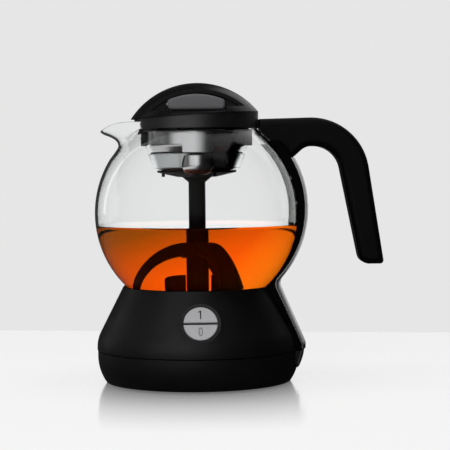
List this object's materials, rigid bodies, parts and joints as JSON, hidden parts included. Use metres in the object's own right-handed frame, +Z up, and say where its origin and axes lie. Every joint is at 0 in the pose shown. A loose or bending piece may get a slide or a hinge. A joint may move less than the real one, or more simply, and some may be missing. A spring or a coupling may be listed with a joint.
{
  "type": "electric tea maker",
  "caption": "Round glass tea jug with a domed lid, a filter basket on a riser tube and an open handle, on a cone shaped heater with two keys and a round power base.",
  "frame": {"origin": "centre of the resting plane, on the axis of the round power base", "axes": "+Z up, +X towards the handle, -X towards the spout, -Y towards the front with the on and off keys"},
  "size_m": [0.2116, 0.15, 0.2192],
  "materials": {
    "black_satin": "satin black moulded plastic",
    "black_gloss": "glossy black moulded plastic",
    "grey_key": "satin grey lacquer on the keys",
    "grey_button": "satin grey lacquer on the squeeze buttons",
    "bezel_grey": "satin dark grey lacquer",
    "clear_glass": "clear borosilicate glass",
    "clear_plastic": "clear plastic",
    "polished_steel": "mirror polished stainless steel",
    "satin_steel": "brushed stainless steel",
    "fastener_steel": "zinc plated steel",
    "contact_brass": "turned brass",
    "element_steel": "dull sheathed heating tube",
    "thermostat_body": "brown phenolic",
    "soft_rubber": "black rubber",
    "silicone": "translucent grey silicone"
  },
  "bodies": {
    "base": {"base_shell": "black_satin", "base_plate": "black_satin", "base_feet": "soft_rubber", "base_screws": "fastener_steel", "base_socket": "black_satin", "socket_contacts": "contact_brass", "cord_bush": "soft_rubber", "base_tab_strip": "polished_steel"},
    "jug": {"heater_housing": "black_satin", "jug_bottom_cover": "black_satin", "jug_screws": "fastener_steel", "jug_plug": "black_satin", "plug_contacts": "contact_brass", "glass_seal": "silicone", "heater_plate": "satin_steel", "clamp_ring": "satin_steel", "clamp_screws": "fastener_steel", "heating_element": "element_steel", "thermostat": "thermostat_body", "switch_bezel": "bezel_grey", "switch_block": "black_satin", "on_key_spring": "fastener_steel", "off_key_spring": "fastener_steel", "glass_jug": "clear_glass", "spine": "black_satin", "spine_strip": "polished_steel", "bond_pads": "silicone", "spine_screws": "fastener_steel", "root_screws": "fastener_steel", "handle_front_half": "black_satin", "handle_back_half": "black_satin", "handle_screws": "fastener_steel"},
    "on_key": {"on_key": "grey_key"},
    "off_key": {"off_key": "grey_key"},
    "infuser": {"riser_tube": "black_gloss", "riser_foot": "black_satin", "riser_bell": "black_satin", "filter_basket": "polished_steel", "filter_mesh": "satin_steel", "basket_dish": "black_gloss", "basket_sleeve": "clear_plastic", "basket_collar": "black_satin", "outlet_channel": "polished_steel", "outlet_cup": "polished_steel"},
    "lid": {"lid_crown": "black_gloss", "lid_skirt": "black_satin", "lid_plate": "black_satin", "lid_screws": "fastener_steel", "lid_gasket": "silicone", "lid_springs_back": "fastener_steel", "lid_springs_front": "fastener_steel"},
    "lid_button_front": {"lid_button_front": "grey_button"},
    "lid_button_back": {"lid_button_back": "grey_button"}
  },
  "joints": [
    {"name": "jug_lift", "type": "slide", "parent": "base", "child": "jug", "axis": [0, 0, 1], "range_m": [0, 0.06]},
    {"name": "infuser_lift", "type": "slide", "parent": "jug", "child": "infuser", "axis": [0, 0, 1], "range_m": [0, 0.135]},
    {"name": "lid_lift", "type": "slide", "parent": "infuser", "child": "lid", "axis": [0, 0, 1], "range_m": [0, 0.05]},
    {"name": "on_key_press", "type": "slide", "parent": "jug", "child": "on_key", "axis": [0, 0.9272, -0.3746], "range_m": [0, 0.0022], "stiffness_N_per_m": 600, "deforming": ["on_key_spring"]},
    {"name": "off_key_press", "type": "slide", "parent": "jug", "child": "off_key", "axis": [0, 0.9272, -0.3746], "range_m": [0, 0.0022], "stiffness_N_per_m": 600, "deforming": ["off_key_spring"]},
    {"name": "lid_button_front_press", "type": "slide", "parent": "lid", "child": "lid_button_front", "axis": [0, 1, 0], "range_m": [0, 0.003], "stiffness_N_per_m": 500, "deforming": ["lid_springs_front"]},
    {"name": "lid_button_back_press", "type": "slide", "parent": "lid", "child": "lid_button_back", "axis": [0, -1, 0], "range_m": [0, 0.003], "stiffness_N_per_m": 500, "deforming": ["lid_springs_back"]}
  ]
}
